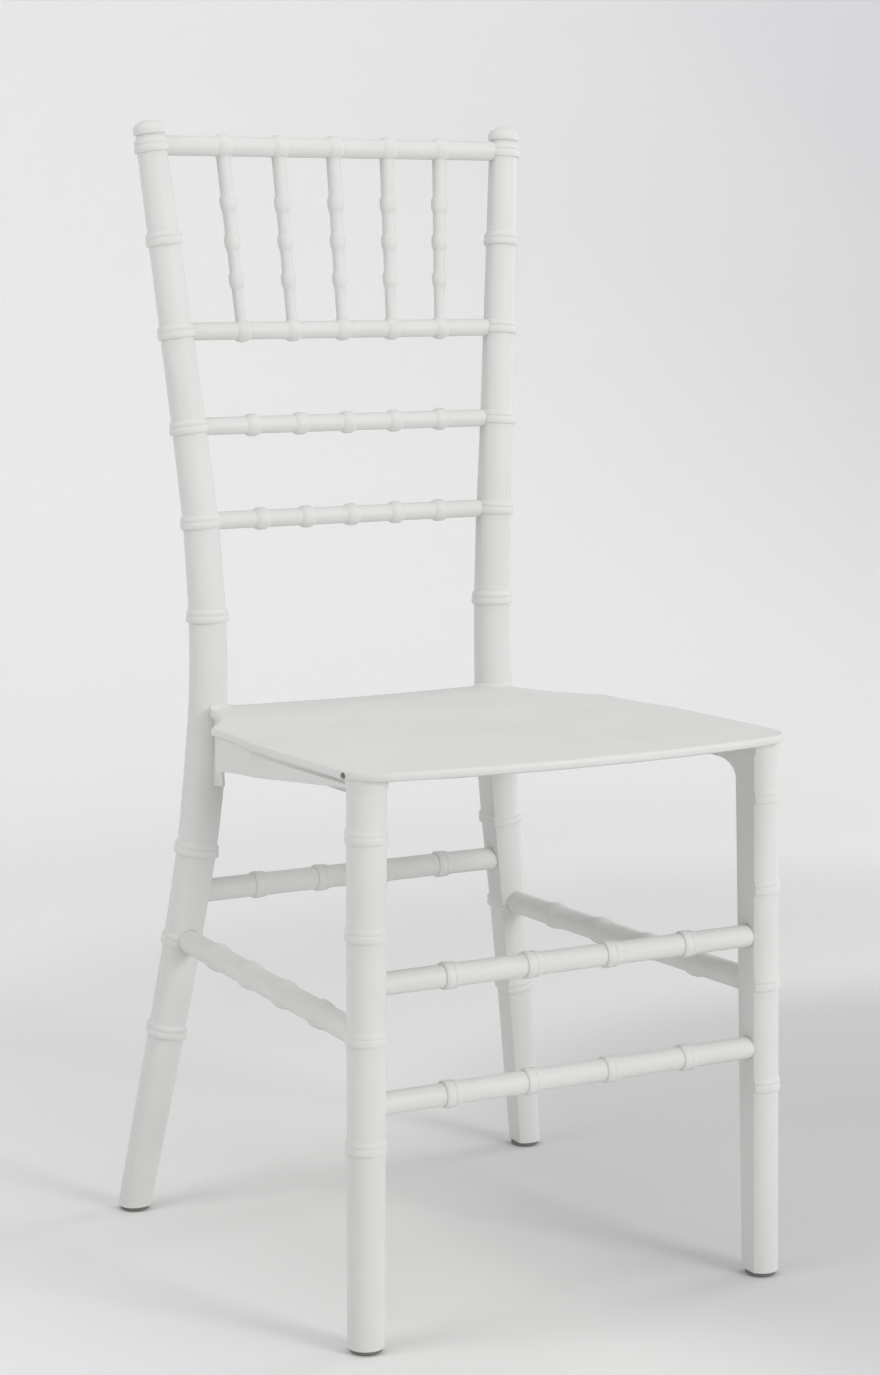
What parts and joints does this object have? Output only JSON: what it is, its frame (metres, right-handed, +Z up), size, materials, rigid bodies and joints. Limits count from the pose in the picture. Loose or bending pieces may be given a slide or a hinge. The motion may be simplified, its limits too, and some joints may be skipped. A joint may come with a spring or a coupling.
{
  "type": "bamboo-look banquet chair",
  "caption": "Moulded dining chair with turned bamboo-look posts, rails, spindles and stretchers with node rings, and a hard moulded seat with a rounded lip.",
  "frame": {"origin": "on the floor, under the middle of the chair's bounding box", "axes": "+X to the sitter's left seen from behind the chair (right in a front view), -Y towards the front edge of the seat, +Z up"},
  "size_m": [0.417, 0.4496, 0.9227],
  "materials": {
    "resin": "satin moulded off-white polypropylene",
    "glide": "dark moulded foot glide",
    "steel": "zinc-plated screw"
  },
  "bodies": {
    "root": {"post_left": "resin", "post_right": "resin", "top_rail": "resin", "spindle_rail": "resin", "middle_rail": "resin", "lower_rail": "resin", "spindle_1": "resin", "spindle_2": "resin", "spindle_3": "resin", "spindle_4": "resin", "spindle_5": "resin", "seat": "resin", "front_leg_left": "resin", "front_leg_right": "resin", "front_stretcher_upper": "resin", "front_stretcher_lower": "resin", "side_stretcher_left": "resin", "side_stretcher_right": "resin", "rear_stretcher": "resin", "glide_front_left": "glide", "glide_front_right": "glide", "glide_rear_left": "glide", "glide_rear_right": "glide", "seat_bolts": "steel", "tongue_screws": "steel"}
  },
  "joints": []
}
